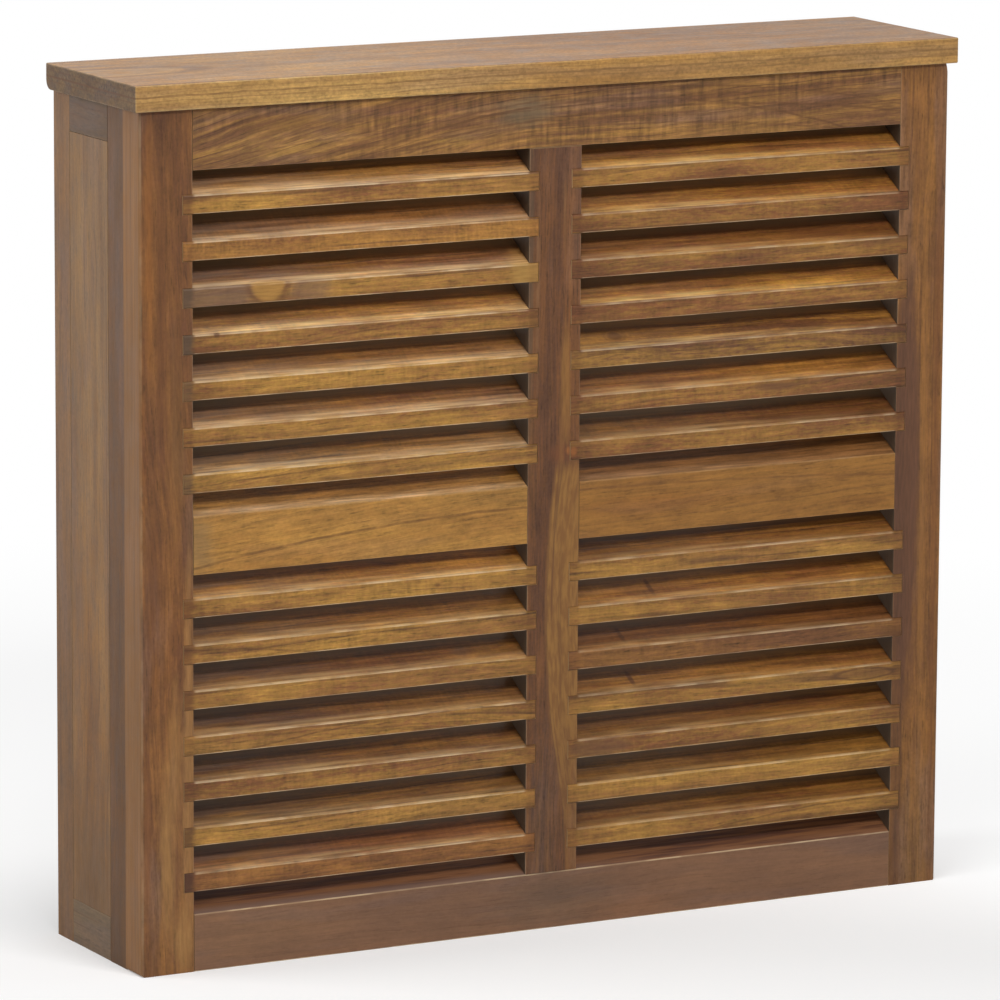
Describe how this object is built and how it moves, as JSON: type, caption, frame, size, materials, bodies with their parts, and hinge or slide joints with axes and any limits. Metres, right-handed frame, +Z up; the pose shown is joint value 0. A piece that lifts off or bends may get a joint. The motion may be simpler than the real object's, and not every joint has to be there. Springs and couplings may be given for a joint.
{
  "type": "radiator cover",
  "caption": "Free-standing wooden radiator cover: framed front with two columns of fixed sloping louvres, framed sides, overhanging top board, open back and base.",
  "frame": {"origin": "on the floor, under the middle of the cover's overall box", "axes": "+X to the right as seen from the front, +Y from the louvred front towards the wall, +Z up"},
  "size_m": [0.85, 0.19, 0.81],
  "materials": {
    "golden": "satin lacquer over a golden brown stain",
    "amber": "satin lacquer over an amber brown stain",
    "russet": "satin lacquer over a red brown stain",
    "umber": "satin lacquer over a dark brown stain",
    "side_brown": "dull lacquer over a grey brown stain",
    "tan": "satin lacquer over a tan stain",
    "bare_wood": "bare planed wood, out of sight",
    "steel": "zinc plated"
  },
  "bodies": {
    "root": {"top_board": "tan", "front_stile_left": "russet", "front_stile_right": "russet", "front_mullion": "umber", "front_top_rail": "amber", "front_bottom_rail": "umber", "front_mid_rail_left": "golden", "front_mid_rail_right": "golden", "louvre_left_01": "golden", "louvre_left_02": "amber", "louvre_left_03": "golden", "louvre_left_04": "amber", "louvre_left_05": "golden", "louvre_left_06": "golden", "louvre_left_07": "golden", "louvre_left_08": "amber", "louvre_left_09": "amber", "louvre_left_10": "russet", "louvre_left_11": "amber", "louvre_left_12": "golden", "louvre_left_13": "amber", "louvre_left_14": "russet", "louvre_right_01": "golden", "louvre_right_02": "amber", "louvre_right_03": "russet", "louvre_right_04": "golden", "louvre_right_05": "russet", "louvre_right_06": "golden", "louvre_right_07": "russet", "louvre_right_08": "russet", "louvre_right_09": "amber", "louvre_right_10": "russet", "louvre_right_11": "russet", "louvre_right_12": "russet", "louvre_right_13": "amber", "louvre_right_14": "amber", "side_left_front_stile": "side_brown", "side_left_back_stile": "side_brown", "side_left_top_rail": "side_brown", "side_left_bottom_rail": "side_brown", "side_left_panel": "side_brown", "side_right_front_stile": "side_brown", "side_right_back_stile": "side_brown", "side_right_top_rail": "side_brown", "side_right_bottom_rail": "side_brown", "side_right_panel": "side_brown", "back_rail": "side_brown", "cleat_front": "bare_wood", "cleat_left": "bare_wood", "cleat_right": "bare_wood", "dowel_left_low": "bare_wood", "dowel_left_high": "bare_wood", "dowel_right_low": "bare_wood", "dowel_right_high": "bare_wood", "screw_left_front": "steel", "screw_left_back": "steel", "screw_right_front": "steel", "screw_right_back": "steel", "screw_front_left": "steel", "screw_front_right": "steel"}
  },
  "joints": []
}
